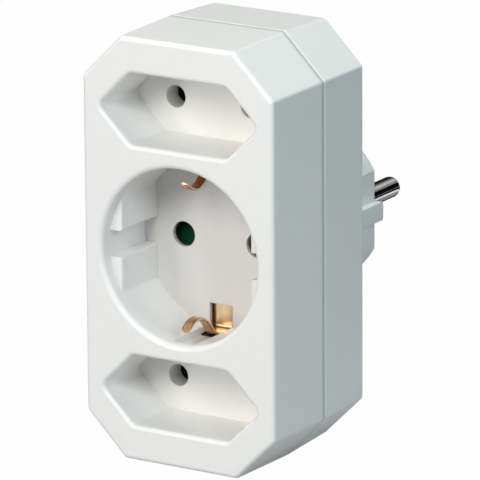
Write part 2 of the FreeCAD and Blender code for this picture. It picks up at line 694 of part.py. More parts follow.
def make_contact(label, x, z, base, gap, hole_radius):
    body = new_body(label)
    body.setExpression("Placement.Base.x", x.text)
    body.setExpression("Placement.Base.z", as_size(z).text)
    sk = new_sketch(body, label + "_folds", "XY_Plane", 0.0)
    w, t = d.contact_half_width, d.contact_thickness
    lean, grip, spread = (CONTACT_MOUTH + (base - CONTACT_MOUTH) * share
                          for share in (LEAN_END, GRIP_END, SPREAD_END))
    fold = t * 0.35
    half = [
        (w, y_of(base)), (w, y_of(spread)), (gap + t, y_of(grip)), (gap + t, y_of(lean)),
        (w, y_of(CONTACT_MOUTH)), (w - t * 0.9, y_of(CONTACT_MOUTH - fold)),
        (gap, y_of(lean - fold)), (gap, y_of(grip + fold)),
        (w - t, y_of(spread + fold)), (w - t, y_of(base - t))]
    outline(sk, half + [(-across, along) for across, along in reversed(half)])
    pad(body, sk, d.contact_height, both_sides=True)
    sk = at_depth(body, label + "_hole", base - t - PAST)
    circle(sk, 0, 0, hole_radius + d.press_clearance)
    pocket(body, sk, t + 2 * PAST)


for side, line in ((1, "phase"), (-1, "neutral")):
    make_contact(line + "_contact_middle", d.pin_half_spacing * side, 0,
                 CENTRE_STRIP_FRONT, d.contact_gap, d.pin_tail_radius)
    for level, word in LEVELS:
        make_contact(line + "_contact_" + word, d.two_pin_half_spacing * side,
                     TWO_PIN_CENTRE * level, STRIP_FRONT, d.two_pin_contact_gap,
                     d.rivet_radius)
    rivets = new_body(line + "_rivets")
    head_back = STRIP_FRONT - d.contact_thickness
    for name, back, length, radius in (
            ("_rivet_shanks", INNER_BACK, INNER_BACK - head_back, d.rivet_radius),
            ("_rivet_heads", head_back, d.rivet_head, d.rivet_head_radius)):
        sk = at_depth(rivets, line + name, back)
        for level, word in LEVELS:
            circle(sk, d.two_pin_half_spacing * side, TWO_PIN_CENTRE * level, radius)
        pad(rivets, sk, length)


# Earth straps

def ribbon(points, thickness):
    """The closed outline of a bent strip: a smooth line through the points, thickened.

    The strip's first side follows the line and its other side lies one
    thickness away.
    """
    flat = [(as_size(a).number, as_size(o).number) for a, o in points]
    outer = []
    for i in range(len(flat)):
        before, after = flat[max(i - 1, 0)], flat[min(i + 1, len(flat) - 1)]
        run, rise = after[0] - before[0], after[1] - before[1]
        length = math.hypot(run, rise)
        outer.append((points[i][0] + thickness * (-rise / length),
                      points[i][1] + thickness * (run / length)))
    return list(points) + outer[::-1]


def smooth(points, steps=3):
    """More points along a curve through the given ones."""
    out = []
    count = len(points)
    for i in range(count - 1):
        p0, p1 = points[max(i - 1, 0)], points[i]
        p2, p3 = points[i + 1], points[min(i + 2, count - 1)]
        for step in range(steps):
            t = step / steps
            w0 = -0.5 * t + t ** 2 - 0.5 * t ** 3
            w1 = 1 - 2.5 * t ** 2 + 1.5 * t ** 3
            w2 = 0.5 * t + 2 * t ** 2 - 1.5 * t ** 3
            w3 = -0.5 * t ** 2 + 0.5 * t ** 3
            out.append(tuple(
                as_size(p0[k]) * w0 + as_size(p1[k]) * w1
                + as_size(p2[k]) * w2 + as_size(p3[k]) * w3 for k in (0, 1)))
    out.append(tuple(as_size(v) for v in points[-1]))
    return out


# A clip leaves its plate, stands up inside the channel, leans in to its hump and
# curls out again at its tip: the share of its run forwards, then the share of the
# way from the hump out to the channel.
CLIP_BENDS = [(0.0, 0.94), (0.14, 0.96), (0.26, 1.05), (0.37, 0.9), (0.46, 0.5),
              (0.58, 0.16), (0.73, 0.0), (0.87, 0.07), (1.0, 0.33)]

socket_earth_strap = new_body("socket_earth_strap")
sk = at_depth(socket_earth_strap, "strap_plate", STRAP_BACK)
rectangle(sk, -d.strap_half_width, d.strap_half_width,
          -STRAP_HALF_LENGTH, STRAP_HALF_LENGTH)
pad(socket_earth_strap, sk, d.strap_thickness)
for level, word in LEVELS:
    reach = d.clip_reach_upper if word == "upper" else d.clip_reach_lower
    hump = d.recess_radius - reach
    start = FLOOR_BACK + d.strap_thickness * 0.2
    line = smooth([
        (y_of(start - (start - d.clip_tip_depth) * along),
         (hump + (STRAP_HALF_LENGTH - hump) * out) * level) for along, out in CLIP_BENDS])
    sk = new_sketch(socket_earth_strap, word + "_clip", "YZ_Plane", 0.0)
    outline(sk, ribbon(line, d.strap_thickness * d.clip_thinning * -level))
    pad(socket_earth_strap, sk, d.clip_half_width * 2, both_sides=True)
# Both clips have round ends, cut by one outline seen from above.
half, tip, bend = d.clip_half_width, y_of(d.clip_tip_depth), d.clip_tip_round
sk = new_sketch(socket_earth_strap, "clip_ends", "XY_Plane", 0.0)
outline(sk, [((-half, tip + bend), (bend - half, tip + bend), (bend - half, tip), bend),
             ((half - bend, tip), (half - bend, tip + bend), (half, tip + bend), bend),
             (half + PAST, tip + bend), (half + PAST, tip - PAST),
             (-half - PAST, tip - PAST), (-half - PAST, tip + bend)])
pocket(socket_earth_strap, sk, (STRAP_HALF_LENGTH + PAST) * 2, both_sides=True)

# The plug's own strap: each leg runs back through its slot and bows out of its
# groove: the share of the groove's length, then the share of the bow.
LEG_BENDS = [(0.18, 0.0), (0.35, 0.7), (0.52, 1.0), (0.7, 0.7), (0.88, 0.1)]

plug_earth_strap = new_body("plug_earth_strap")
sk = at_depth(plug_earth_strap, "bow_plate", PLUG_STRAP_BACK)
rectangle(sk, -d.strap_half_width, d.strap_half_width,
          -(GROOVE_FLOOR + d.strap_thickness), GROOVE_FLOOR + d.strap_thickness)
pad(plug_earth_strap, sk, d.strap_thickness)
for level, word in LEVELS:
    inner = GROOVE_FLOOR + d.strap_seat_gap
    line = [(y_of(PLUG_STRAP_BACK - d.strap_thickness * 0.2), inner * level),
            (y_of(GROOVE_START + PAST), inner * level)]
    line += smooth([
        (y_of(GROOVE_START + (TOTAL - GROOVE_START) * along),
         (inner + d.plug_strap_bow * out) * level) for along, out in LEG_BENDS])
    sk = new_sketch(plug_earth_strap, word + "_leg", "YZ_Plane", 0.0)
    outline(sk, ribbon(line, d.strap_thickness * level))
    pad(plug_earth_strap, sk, d.plug_strap_half_width * 2, both_sides=True)


def at_earth_rivets(sketch, radius):
    for level, word in LEVELS:
        circle(sketch, 0, d.earth_rivet_offset * level, radius)


for body, start, name in ((socket_earth_strap, FLOOR_BACK, "strap_holes"),
                          (plug_earth_strap, STRAP_BACK, "bow_holes")):
    sk = at_depth(body, name, start - PAST)
    at_earth_rivets(sk, d.earth_rivet_radius + d.press_clearance)
    pocket(body, sk, d.strap_thickness + 2 * PAST)

earth_rivets = new_body("earth_rivets")
sk = at_depth(earth_rivets, "earth_rivet_shanks", PLUG_STRAP_BACK)
at_earth_rivets(sk, d.earth_rivet_radius)
pad(earth_rivets, sk, PLUG_STRAP_BACK - FLOOR_BACK)
sk = at_depth(earth_rivets, "earth_rivet_heads", PLUG_STRAP_BACK + d.earth_rivet_head)
at_earth_rivets(sk, d.earth_rivet_head_radius)
pad(earth_rivets, sk, d.earth_rivet_head)


# Shutters: each turns on a post and covers both pin holes of its socket

def place_turned(body, centre, turned):
    """Set a body at its socket's centre, upside down for the lower socket."""
    if turned:
        body.Placement = FreeCAD.Placement(
            FreeCAD.Vector(0, 0, as_size(centre).number),
            FreeCAD.Rotation(FreeCAD.Vector(0, 1, 0), 180))
    body.setExpression("Placement.Base.z", as_size(centre).text)


def make_shutter(label, centre, turned, spacing, wing):
    body = new_body(label)
    place_turned(body, centre, turned)
    back = SHUTTER + d.shutter_thickness
    sk = at_depth(body, label + "_hub", back)
    circle(sk, 0, 0, d.shutter_hub_radius)
    pad(body, sk, d.shutter_thickness)
    inside_hub = d.shutter_hub_radius * 0.5
    for side, word in ((1, "right"), (-1, "left")):
        # a wedge: full thickness on its leading edge, thin on its trailing edge
        sk = new_sketch(body, label + "_wing_" + word, "YZ_Plane", inside_hub * side)
        outline(sk, [
            (y_of(SHUTTER), wing * side), (y_of(back), wing * side),
            (y_of(back), -(wing * side)), (y_of(back - d.shutter_edge), -(wing * side))])
        pad(body, sk, spacing + wing - inside_hub, rearwards=side < 0)
    outer = (spacing + wing).number
    round_edges(body, label + "_wing_ends", wing * 0.5,
                lambda e: abs(abs(spot(e).x) - outer) < 0.05
                and e.BoundBox.YLength > 0.3 and e.BoundBox.ZLength < 0.05)
    sk = at_depth(body, label + "_bore", SHUTTER - PAST)
    circle(sk, 0, 0, d.pivot_radius + d.pivot_clearance)
    pocket(body, sk, d.shutter_thickness + 2 * PAST)


def make_cover(label, centre, turned, spacing, wing, hole, rise, spring):
    """Plate behind a shutter, with the pivot post, two stops and a spring seat."""
    body = new_body(label)
    place_turned(body, centre, turned)
    cut = d.cover_cut
    x = peg_x(spacing) + d.peg_radius + d.cover_margin
    seat = wing + spring
    top = seat + d.spring_seat_thickness + d.cover_margin * 0.5
    bottom = rise + d.peg_radius + d.cover_margin
    sk = at_depth(body, label + "_plate", COVER_BACK)
    outline(sk, [(x, top - cut), (x - cut, top), (-(x - cut), top), (-x, top - cut),
                 (-x, -(bottom - cut)), (-(x - cut), -bottom), (x - cut, -bottom),
                 (x, -(bottom - cut))])
    pad(body, sk, d.cover_thickness)
    root = COVER + d.cover_thickness * 0.5
    sk = at_depth(body, label + "_post", root)
    circle(sk, 0, 0, d.pivot_radius)
    pad(body, sk, root - SHUTTER)
    sk = at_depth(body, label + "_stops", root)
    near, far = spacing - d.stop_half_width, spacing + d.stop_half_width
    low, high = wing + d.stop_clearance, wing + d.stop_height
    rectangle(sk, near, far, -high, -low)
    rectangle(sk, -far, -near, low, high)
    pad(body, sk, root - SHUTTER - d.shutter_thickness * 0.5)
    sk = at_depth(body, label + "_spring_seat", root)
    rectangle(sk, spacing - d.spring_seat_half, spacing + d.spring_seat_half,
              seat, seat + d.spring_seat_thickness)
    pad(body, sk, root - SHUTTER)
    sk = at_depth(body, label + "_openings", COVER - PAST)
    for side in SIDES:
        circle(sk, spacing * side, 0, hole + d.cover_hole_clearance)
        for step in SIDES:
            circle(sk, peg_x(spacing) * side, rise * step, d.peg_radius + d.press_clearance)
    pocket(body, sk, d.cover_thickness + 2 * PAST)


SPRING_TURNS = 6


def make_spring(label, centre, turned, spacing, wing, length):
    """Compression spring of square wire between the right wing and its seat."""
    body = new_body(label)
    place_turned(body, centre, turned)
    body.setExpression("Placement.Base.x", (spacing * (-1 if turned else 1)).text)
    wire, gap = d.spring_wire, d.stop_clearance
    first = wing + gap
    sk = at_depth(body, label + "_wire", SHUTTER + d.shutter_thickness * 0.5)
    rectangle(sk, d.spring_radius - wire, d.spring_radius + wire, first, first + wire * 2)
    feature = body.newObject("PartDesign::AdditiveHelix", label + "_coil")
    feature.Profile = sk
    feature.ReferenceAxis = (sk, ["V_Axis"])
    feature.Mode = "pitch-height-angle"
    rise = length - wire * 2 - gap * 2
    pitch = rise * (1 / SPRING_TURNS)
    feature.Pitch = pitch.number
    feature.Height = rise.number
    feature.setExpression("Pitch", pitch.text)
    feature.setExpression("Height", rise.text)
    sk.Visibility = False
    finish(feature, body, 0.0, True)


for centre, turned, place in ((TWO_PIN_CENTRE, False, "upper"),
                              (-TWO_PIN_CENTRE, True, "lower"), (0, False, "middle")):
    if place == "middle":
        spacing, hole = d.pin_half_spacing, d.pin_hole_radius
        rise, spring = d.peg_rise, d.spring_length
    else:
        spacing, hole = d.two_pin_half_spacing, d.two_pin_hole_radius
        rise, spring = d.two_pin_peg_rise, d.two_pin_spring_length
    wing = hole + d.shutter_margin
    make_shutter("shutter_" + place, centre, turned, spacing, wing)
    make_cover("shutter_cover_" + place, centre, turned, spacing, wing, hole, rise, spring)
    make_spring("shutter_spring_" + place, centre, turned, spacing, wing, spring)

# Housing screws, driven in from the back

housing_screws = new_body("housing_screws")
sk = at_depth(housing_screws, "screw_shanks", SCREW_HEAD_BASE + d.screw_head_height * 0.1)
at_screws(sk, d.screw_shank_radius)
pad(housing_screws, sk, SCREW_HEAD_BASE + d.screw_head_height * 0.1 - SCREW_TIP)
sk = at_depth(housing_screws, "screw_heads", SCREW_HEAD_BASE + d.screw_head_height)
at_screws(sk, d.screw_head_radius)
pad(housing_screws, sk, d.screw_head_height)

# Export every body that is a real piece
doc.recompute()
for item in doc.Objects:
    if "Invalid" in item.State or "Error" in item.State:
        raise RuntimeError("object in error: " + item.Label)
os.makedirs("parts", exist_ok=True)
for item in doc.Objects:
    if item.TypeId != "PartDesign::Body":
        continue
    shape = item.Shape
    if shape.isNull() or not shape.isValid():
        raise RuntimeError("bad shape: " + item.Label)
    shape.exportStep(f"parts/{item.Label}.step")
    print(item.Label, round(shape.Volume, 1), "mm3", len(shape.Solids), "solid(s)")
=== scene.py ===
# %% [markdown]
# # A multi socket adapter, dressed for its picture
#
# The object is a small white wall adapter: an octagonal housing with a round
# earthed socket between two flat two-pin sockets, and an earthed plug at its
# back. The solids come from the CAD model. This lesson gives them their
# finishes, remakes the sprung metal as smooth bent strip and wound wire, and
# sets up a plain studio with the camera where the photographer stood.
#
# First we load the CAD model. Each of its pieces already stands in the right
# place, so we only ask for the pieces by name.

# %% Load the CAD model
import json
import math

import bmesh
import bpy
from mathutils import Matrix, Vector


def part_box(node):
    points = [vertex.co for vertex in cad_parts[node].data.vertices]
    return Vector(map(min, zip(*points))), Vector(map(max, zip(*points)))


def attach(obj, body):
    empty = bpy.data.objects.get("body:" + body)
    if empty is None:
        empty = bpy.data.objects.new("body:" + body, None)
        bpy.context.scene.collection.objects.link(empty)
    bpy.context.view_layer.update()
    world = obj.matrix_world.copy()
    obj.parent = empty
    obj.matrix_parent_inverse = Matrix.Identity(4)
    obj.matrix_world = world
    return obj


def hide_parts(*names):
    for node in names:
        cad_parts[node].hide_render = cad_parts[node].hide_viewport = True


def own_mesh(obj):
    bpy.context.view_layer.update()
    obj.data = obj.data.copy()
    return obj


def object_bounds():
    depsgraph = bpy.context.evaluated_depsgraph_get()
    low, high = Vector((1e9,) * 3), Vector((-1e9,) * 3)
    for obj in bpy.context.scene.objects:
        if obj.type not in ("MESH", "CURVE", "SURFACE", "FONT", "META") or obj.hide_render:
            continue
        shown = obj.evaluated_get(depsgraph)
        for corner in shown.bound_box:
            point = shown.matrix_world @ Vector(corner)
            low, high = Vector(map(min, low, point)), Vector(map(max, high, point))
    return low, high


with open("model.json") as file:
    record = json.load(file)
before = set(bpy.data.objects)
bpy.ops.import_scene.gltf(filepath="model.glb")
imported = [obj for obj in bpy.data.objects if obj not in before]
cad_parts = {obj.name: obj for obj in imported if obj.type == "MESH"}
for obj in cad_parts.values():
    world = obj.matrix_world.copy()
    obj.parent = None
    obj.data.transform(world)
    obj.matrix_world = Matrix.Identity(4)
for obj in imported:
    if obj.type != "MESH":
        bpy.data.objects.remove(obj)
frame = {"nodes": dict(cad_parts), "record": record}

MM = 0.001
scene = bpy.context.scene
nodes = frame["nodes"]


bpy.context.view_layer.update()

# %% [markdown]
# ## The camera
#
# The viewing direction and the distance were worked out from the corners of
# the housing. The lines of the photo run almost parallel, so the camera stands
# far off with a long lens. A camera could be told to look at a point, but the
# photographer also tilted theirs by a hair. So we build the camera's three axes
# from two angles, how far it has gone round the object and how high it stands,
# and roll them by a third.

# %% Camera at the photo's angle
ROUND = math.radians(32.10)
HEIGHT = math.radians(15.77)
ROLL = math.radians(-0.386)
DISTANCE = 1256.3 * MM
AIM = Vector((3.972, -37.6, 0.147)) * MM
# the lens's focal length and the picture's width, both in dots of the picture
FOCAL_DOTS, WIDTH_DOTS = 5753.9, 480
SENSOR_WIDTH = 36
NEAREST, FARTHEST = 0.05, 20


def direction(turned, raised):
    """The way to a thing that stands round to the right of the front, and up."""
    return Vector((math.sin(turned) * math.cos(raised),
                   -math.cos(turned) * math.cos(raised), math.sin(raised)))


def put_in_scene(name, data):
    thing = bpy.data.objects.new(name, data)
    scene.collection.objects.link(thing)
    return thing


back_axis = direction(ROUND, HEIGHT)
right_axis = Vector((math.cos(ROUND), math.sin(ROUND), 0))
up_axis = back_axis.cross(right_axis)
rolled_right = math.cos(ROLL) * right_axis + math.sin(ROLL) * up_axis
rolled_up = math.cos(ROLL) * up_axis - math.sin(ROLL) * right_axis

lens = bpy.data.cameras.new("photo_camera")
lens.sensor_fit = "HORIZONTAL"
lens.sensor_width = SENSOR_WIDTH
lens.lens = SENSOR_WIDTH * FOCAL_DOTS / WIDTH_DOTS
lens.clip_start, lens.clip_end = NEAREST, FARTHEST
camera = put_in_scene("photo_camera", lens)
turn = Matrix((rolled_right, rolled_up, back_axis)).transposed().to_4x4()
camera.matrix_world = Matrix.Translation(AIM + back_axis * DISTANCE) @ turn
scene.camera = camera
scene.view_settings.view_transform = "Standard"
print("camera at", [round(v, 3) for v in camera.location], "lens", round(lens.lens), "mm")

# %% [markdown]
# ## Floor and light
#
# Every finish here is a tree of nodes, so we start with a few helpers that
# keep the trees short to write. One adds a node and fills its inputs, either
# with a constant or with a link from another node.

# %% Helpers for node trees
def give(tree, socket, value):
    """Sets a socket to a value, or links another node's output to it."""
    if isinstance(value, bpy.types.NodeSocket):
        tree.links.new(value, socket)
    else:
        socket.default_value = value


def add(tree, kind, **values):
    """A new node. Each value goes to its property or its input of that name."""
    node = tree.nodes.new(kind)
    for name, value in values.items():
        if hasattr(node, name):
            setattr(node, name, value)
        else:
            give(tree, node.inputs[name.replace("_", " ")], value)
    return node


def maths(tree, operation, *values):
    """One sum. Each value is a number or another node's output."""
    node = add(tree, "ShaderNodeMath", operation=operation)
    for socket, value in zip(node.inputs, values):
        give(tree, socket, value)
    return node.outputs[0]


def mixed_shader(tree, share, first, second):
    """Two shaders in one, by the second one's share."""
    mix = add(tree, "ShaderNodeMixShader")
    for socket, source in zip(mix.inputs, (share, first.outputs[0], second.outputs[0])):
        give(tree, socket, source)
    return mix.outputs[0]


def empty_material(name):
    material = bpy.data.materials.new(name)
    material.use_nodes = True
    material.node_tree.nodes.clear()
    return material


print("node helpers:", [f.__name__ for f in (give, add, maths, mixed_shader)])

# %% [markdown]
# The photo shows a pure white ground. A floor lit so strongly that it turns
# white would also wash out the white housing. So the floor is grey paper as the
# lamps see it, and it is told to look almost white to the camera and half white
# in reflections. The little of its own shading that is left in keeps the soft
# shadow under the object.

# %% White floor that keeps a soft shadow
FLOOR_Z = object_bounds()[0][2]
FLOOR_REACH = 6.0
SEEN_WHITE, MIRRORED_WHITE = 0.985, 0.5
PAPER = 0.37

floor_paint = empty_material("studio_floor")
tree = floor_paint.node_tree
ray = add(tree, "ShaderNodeLightPath").outputs
share = maths(tree, "MAXIMUM",
              maths(tree, "MULTIPLY", ray["Is Camera Ray"], SEEN_WHITE),
              maths(tree, "MULTIPLY", ray["Is Glossy Ray"], MIRRORED_WHITE))
paper = add(tree, "ShaderNodeBsdfDiffuse", Color=(PAPER, PAPER, PAPER, 1))
glow = add(tree, "ShaderNodeEmission", Strength=1.0)
add(tree, "ShaderNodeOutputMaterial", Surface=mixed_shader(tree, share, paper, glow))

floor_mesh = bpy.data.meshes.new("studio_floor")
floor_mesh.from_pydata(
    [(-FLOOR_REACH, -FLOOR_REACH, FLOOR_Z), (FLOOR_REACH, -FLOOR_REACH, FLOOR_Z),
     (FLOOR_REACH, FLOOR_REACH, FLOOR_Z), (-FLOOR_REACH, FLOOR_REACH, FLOOR_Z)],
    [], [(0, 1, 2, 3)])
floor_mesh.materials.append(floor_paint)
floor = put_in_scene("studio_floor", floor_mesh)
print("floor at z", round(FLOOR_Z / MM, 2), "mm")

# %% [markdown]
# The world works the same way. Seen, mirrored or looked at through glass it is
# plain white, and as a light it is faint and a little blue, so the lamps alone
# shape the object.

# %% World: white to the eye, faint as a light
WORLD_STRENGTH = 0.04
WORLD_TINT = (0.9, 0.96, 1.0, 1)

world = bpy.data.worlds.new("studio_world")
scene.world = world
world.use_nodes = True
tree = world.node_tree
tree.nodes.clear()
ray = add(tree, "ShaderNodeLightPath").outputs
share = maths(tree, "MAXIMUM",
              maths(tree, "MAXIMUM", ray["Is Camera Ray"], ray["Is Glossy Ray"]),
              ray["Is Transmission Ray"])
lighting = add(tree, "ShaderNodeBackground", Strength=WORLD_STRENGTH, Color=WORLD_TINT)
backdrop = add(tree, "ShaderNodeBackground", Strength=1.0)
add(tree, "ShaderNodeOutputWorld", Surface=mixed_shader(tree, share, lighting, backdrop))
print("world light strength", WORLD_STRENGTH)

# %% [markdown]
# The front of the housing is bright, its right side stands in a cool half
# shade, and the recesses darken towards their upper left. Four soft boxes give
# this: a warm main light a little right of the front, a low one from the left,
# a cool one from the right, and one straight above for the top faces. A fifth
# stands behind, for whoever walks round the object. It is wide, and so too faint
# to be seen as a bright patch in the gloss of the top. All of them stand equally
# far from the object, so only direction, power, colour and width differ.

# %% Soft lights
LAMP_DISTANCE = 1.5
LAMP_WIDTH, BACK_WIDTH = 0.5, 1.6
CENTRE = Vector((0, -37, 0)) * MM
# degrees round to the right, degrees up, power in watts, colour, width
LAMPS = {"main_light": (9, 35, 10.2, (1.0, 0.96, 0.91), LAMP_WIDTH),
         "left_light": (-28, 12, 6.6, (0.99, 0.98, 1.0), LAMP_WIDTH),
         "right_light": (60, 26, 7.4, (0.7, 0.89, 1.0), LAMP_WIDTH),
         "top_light": (0, 90, 10.8, (0.96, 1.0, 0.95), LAMP_WIDTH),
         "back_light": (190, 30, 5.0, (1.0, 1.0, 1.0), BACK_WIDTH)}

for name, (turned, raised, power, colour, width) in LAMPS.items():
    lamp = bpy.data.lights.new(name, "AREA")
    lamp.shape = "SQUARE"
    lamp.size = width
    lamp.energy = power
    lamp.color = colour
    holder = put_in_scene(name, lamp)
    towards = direction(math.radians(turned), math.radians(raised))
    holder.location = CENTRE + towards * LAMP_DISTANCE
    holder.rotation_euler = (-towards).to_track_quat("-Z", "Y").to_euler()
    print(name, "power", power, "W")

# %% [markdown]
# Polished metal only looks like metal if it has light and dark shapes to
# mirror. A photographer stands black and grey cards round it, and so do we,
# since the pins alone need them and a picture of a room would change every other
# surface too. Our cards stand behind the object like the blades of a fan, each
# with its own tone, and only reflections see them. The side of a straight round
# pin mirrors a ring of directions, so each blade becomes one stripe along it.

# %% Cards like the blades of a fan
def mirror_card(name, tone, corners):
    """A flat card of one tone, seen by mirror rays alone."""
    paint = empty_material(name)
    tree = paint.node_tree
    glow = add(tree, "ShaderNodeEmission", Color=(tone, tone, tone, 1), Strength=1.0)
    add(tree, "ShaderNodeOutputMaterial", Surface=glow.outputs[0])
    mesh = bpy.data.meshes.new(name)
    mesh.from_pydata(corners, [], [tuple(range(len(corners)))])
    mesh.materials.append(paint)
    card = put_in_scene(name, mesh)
    for ray in ("camera", "diffuse", "transmission", "shadow", "volume_scatter"):
        setattr(card, "visible_" + ray, False)
    print(name, "with tone", tone)


CARDS_Y = 0.5
BLADE_START, BLADE_END = 0.05, 3.0
BLACK, DARK, GREY, PALE, WHITE_CARD = 0.003, 0.1, 0.3, 0.65, 1.0
# tone, and the two directions it reaches between, in degrees from the right
BLADES = {"blade_right": (BLACK, -6, 42), "blade_right_grey": (GREY, 42, 66),
          "blade_top": (PALE, 66, 94), "blade_left_grey": (GREY, 94, 110),
          "blade_left_dark": (DARK, 110, 129), "blade_left": (BLACK, 129, 186)}

for name, (tone, first, last) in BLADES.items():
    ends = [(math.cos(math.radians(a)), math.sin(math.radians(a))) for a in (first, last)]
    mirror_card(name, tone, [
        (x * reach, CARDS_Y, z * reach)
        for reach, pair in ((BLADE_START, ends), (BLADE_END, ends[::-1]))
        for x, z in pair])

# %% [markdown]
# The pin's underside mirrors the floor behind the object, where mats of the same
# kind lie just above the floor, edge to edge. They are a painted reflection of
# that floor: the black and grey mats stand for the object's shadow on it, the
# white one for the lit floor beside the shadow.

# %% Mats on the floor
MAT_Z = FLOOR_Z + 0.5 * MM
MAT_REACH, MAT_MIDDLE, MAT_RIGHT = 1.6, 0.005, 0.4
GREY_NEAR, WHITE_NEAR, BLACK_NEAR = 0.055, 0.106, 0.134
# tone, left and right edge, near and far edge
MATS = {"mat_behind": (BLACK, -MAT_REACH, MAT_REACH, BLACK_NEAR, CARDS_Y),
        "mat_white": (WHITE_CARD, 0.0, MAT_RIGHT, WHITE_NEAR, BLACK_NEAR),
        "mat_grey": (GREY, MAT_MIDDLE, MAT_RIGHT, GREY_NEAR, WHITE_NEAR),
        "mat_left": (BLACK, -MAT_REACH, MAT_MIDDLE, GREY_NEAR, BLACK_NEAR)}

for name, (tone, left, right, near, far) in MATS.items():
    mirror_card(name, tone, [(left, near, MAT_Z), (right, near, MAT_Z),
                             (right, far, MAT_Z), (left, far, MAT_Z)])

# %% [markdown]
# ## Finishes
#
# Two effects are used by more than one material, so each is made once as a
# node group. The first is moulded plastic, which is never quite flat: it has a
# very fine grain from the mould and slow waves where it shrank while cooling.
# Its edges are never quite sharp, so each catches a thin line of light. Real
# roundings would change the CAD pieces, so a bevel node bends the normal near an
# edge as a small rounding would. The group gives out a colour, a roughness and a
# bent normal. Every material then keeps its own shader and plugs these in.

# %% Node group: moulded plastic
FLOAT, COLOUR, VECTOR = "NodeSocketFloat", "NodeSocketColor", "NodeSocketVector"


def new_group(name, inputs, outputs):
    """An empty node group, with what it is given and what it gives."""
    group = bpy.data.node_groups.new(name, "ShaderNodeTree")
    for label, kind, value in inputs:
        socket = group.interface.new_socket(label, in_out="INPUT", socket_type=kind)
        socket.default_value = value
    for label, kind in outputs:
        group.interface.new_socket(label, in_out="OUTPUT", socket_type=kind)
    given, gives = add(group, "NodeGroupInput"), add(group, "NodeGroupOutput")
    return group, given.outputs, gives.inputs


moulded, given, gives = new_group(
    "moulded_plastic",
    [("Colour", COLOUR, (0.8, 0.8, 0.8, 1)), ("Roughness", FLOAT, 0.3),
     ("Grain", FLOAT, 0.1), ("Waves", FLOAT, 0.1), ("Mottle", FLOAT, 0.03)],
    [("Colour", COLOUR), ("Roughness", FLOAT), ("Normal", VECTOR)])
print("group", moulded.name, "takes", [socket.name for socket in given if socket.name])

# %% Moulded plastic: grain, waves and soft edges
GRAIN_SCALE, WAVE_SCALE, CLOUD_SCALE = 2600.0, 60.0, 24.0
GRAIN_HEIGHT, WAVE_HEIGHT = 0.03 * MM, 0.4 * MM
EDGE_SOFTNESS = 0.3 * MM

where = add(moulded, "ShaderNodeTexCoord").outputs["Object"]
fine, slow, cloud = (
    add(moulded, "ShaderNodeTexNoise", Scale=scale, Detail=detail,
        Vector=where).outputs[0]
    for scale, detail in ((GRAIN_SCALE, 3.0), (WAVE_SCALE, 2.0), (CLOUD_SCALE, 4.0)))
soft_edge = add(moulded, "ShaderNodeBevel", samples=4, Radius=EDGE_SOFTNESS)
waves = add(moulded, "ShaderNodeBump", Distance=WAVE_HEIGHT, Height=slow,
            Strength=given["Waves"], Normal=soft_edge.outputs[0])
grain = add(moulded, "ShaderNodeBump", Distance=GRAIN_HEIGHT, Height=fine,
            Strength=given["Grain"], Normal=waves.outputs[0])
give(moulded, gives["Normal"], grain.outputs[0])
print("grain", GRAIN_HEIGHT, "m high, waves", WAVE_HEIGHT, "m, edges", EDGE_SOFTNESS, "m")

# %% Moulded plastic: clouds in its colour and gloss
CLOUD_DARK, CLOUD_LIGHT = 0.86, 1.06
CLOUD_ROUGHNESS = 0.03


def mixed_colour(tree, factor, first, second, blend="MIX"):
    """Two colours in one. Each is a colour or another node's output."""
    mix = add(tree, "ShaderNodeMix", data_type="RGBA", blend_type=blend,
              Factor=factor, A=first, B=second)
    return mix.outputs["Result"]


shade = add(moulded, "ShaderNodeMapRange", To_Min=CLOUD_DARK, To_Max=CLOUD_LIGHT,
            Value=cloud)
give(moulded, gives["Colour"], mixed_colour(
    moulded, given["Mottle"], given["Colour"], shade.outputs[0], "MULTIPLY"))
give(moulded, gives["Roughness"], maths(
    moulded, "MULTIPLY_ADD", cloud, CLOUD_ROUGHNESS, given["Roughness"]))
print("group", moulded.name, "with", len(moulded.nodes), "nodes")

# %% [markdown]
# The second effect is worked metal. Rolled and drawn metal carries fine lines
# along the way it was worked, which catch the light and leave lighter and darker
# streaks. The lines come from a noise that is stretched far in one direction.
# Where the metal was handled it has darker, duller patches, from a second noise.

# %% Node group: worked metal
LINE_SCALE, PATCH_SCALE = 1500.0, 420.0
LINE_HEIGHT = 0.03 * MM

worked, given, gives = new_group(
    "worked_metal",
    [("Colour", COLOUR, (0.8, 0.8, 0.8, 1)), ("Tarnish", COLOUR, (0.4, 0.4, 0.4, 1)),
     ("Roughness", FLOAT, 0.25), ("Lines", FLOAT, 0.2), ("Place", VECTOR, (0, 0, 0)),
     ("Stretch", VECTOR, (1, 1, 1)), ("Streaks", FLOAT, 0.3), ("Age", FLOAT, 0.3)],
    [("Colour", COLOUR), ("Roughness", FLOAT), ("Normal", VECTOR)])
drawn = add(worked, "ShaderNodeVectorMath", operation="MULTIPLY")
give(worked, drawn.inputs[0], given["Place"])
give(worked, drawn.inputs[1], given["Stretch"])
lines = add(worked, "ShaderNodeTexNoise", Scale=LINE_SCALE, Detail=4.0,
            Vector=drawn.outputs[0]).outputs[0]
patches = add(worked, "ShaderNodeTexNoise", Scale=PATCH_SCALE, Detail=3.0,
              Vector=given["Place"]).outputs[0]
engraved = add(worked, "ShaderNodeBump", Distance=LINE_HEIGHT, Height=lines,
               Strength=given["Lines"])
give(worked, gives["Normal"], engraved.outputs[0])
print("lines", LINE_HEIGHT, "m high")

# %% Worked metal: streaks and tarnish
STREAK_DARK, STREAK_LIGHT = 0.6, 1.15
TARNISH_ROUGHNESS = 0.3

